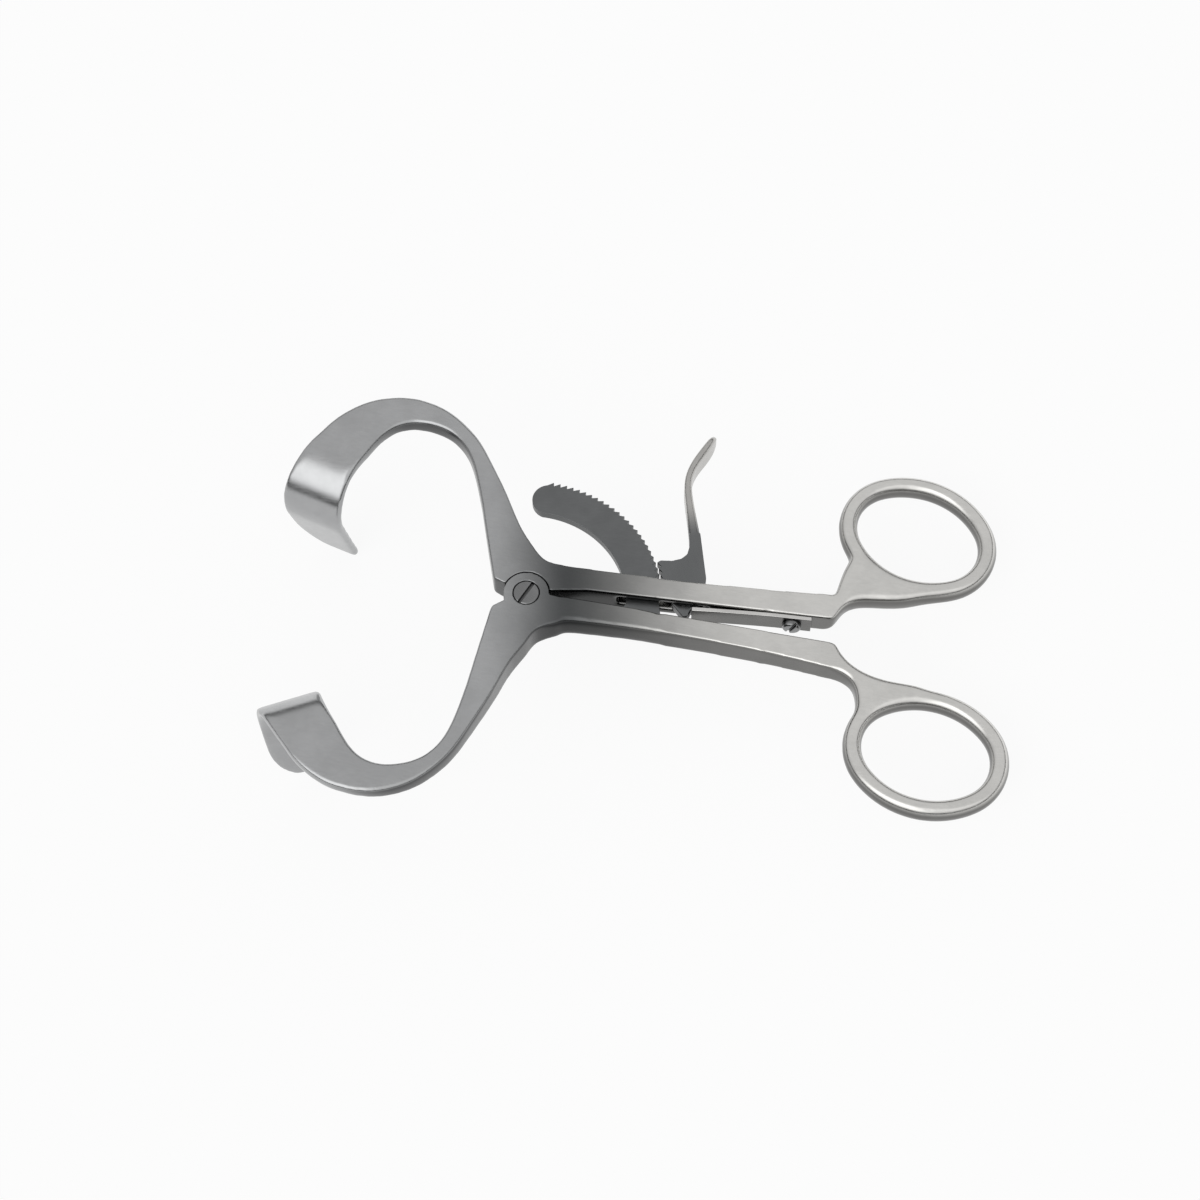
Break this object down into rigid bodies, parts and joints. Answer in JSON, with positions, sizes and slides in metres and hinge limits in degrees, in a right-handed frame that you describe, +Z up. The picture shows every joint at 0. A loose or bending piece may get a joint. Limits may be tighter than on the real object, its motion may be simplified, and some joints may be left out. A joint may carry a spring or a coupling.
{
  "type": "mouth gag",
  "caption": "Side-ratchet mouth gag of satin steel: squeezing the finger rings spreads the hooked jaws, and a spring-loaded pawl on a toothed arc holds them open",
  "frame": {"origin": "centre of the footprint on the table on which the instrument lies, resting on the ends of its jaw shelves and the backs of its finger rings", "axes": "+X along the instrument towards the finger rings, +Y towards the arm with the pawl, +Z up from the table"},
  "size_m": [0.1394, 0.0882, 0.0316],
  "materials": {
    "arm_steel": "satin stainless steel, finely brushed",
    "rack_steel": "satin stainless steel",
    "screw_steel": "turned stainless steel",
    "pin_steel": "ground flush with the arm",
    "spring_steel": "rolled stainless spring strip"
  },
  "bodies": {
    "lower": {"lower_arm": "arm_steel", "ratchet_rack": "rack_steel", "rack_pins": "pin_steel"},
    "upper": {"upper_arm": "arm_steel", "pivot_screw": "screw_steel", "pawl_pin": "pin_steel", "leaf_spring": "spring_steel", "spring_screw": "screw_steel"},
    "pawl": {"pawl_lever": "rack_steel"}
  },
  "joints": [
    {"name": "jaw_hinge", "type": "hinge", "parent": "lower", "child": "upper", "pos_m": [-0.01753, 0.00073, 0.02012], "axis": [0.1874, 0, 0.9823], "range_deg": [0, 46.96]},
    {"name": "pawl_hinge", "type": "hinge", "parent": "upper", "child": "pawl", "pos_m": [0.01024, 0.00124, 0.01482], "axis": [0.1874, 0, 0.9823], "range_deg": [-12, 6], "stiffness_Nm_per_rad": 0.01, "springref_deg": 20.05, "deforming": ["leaf_spring"]}
  ]
}
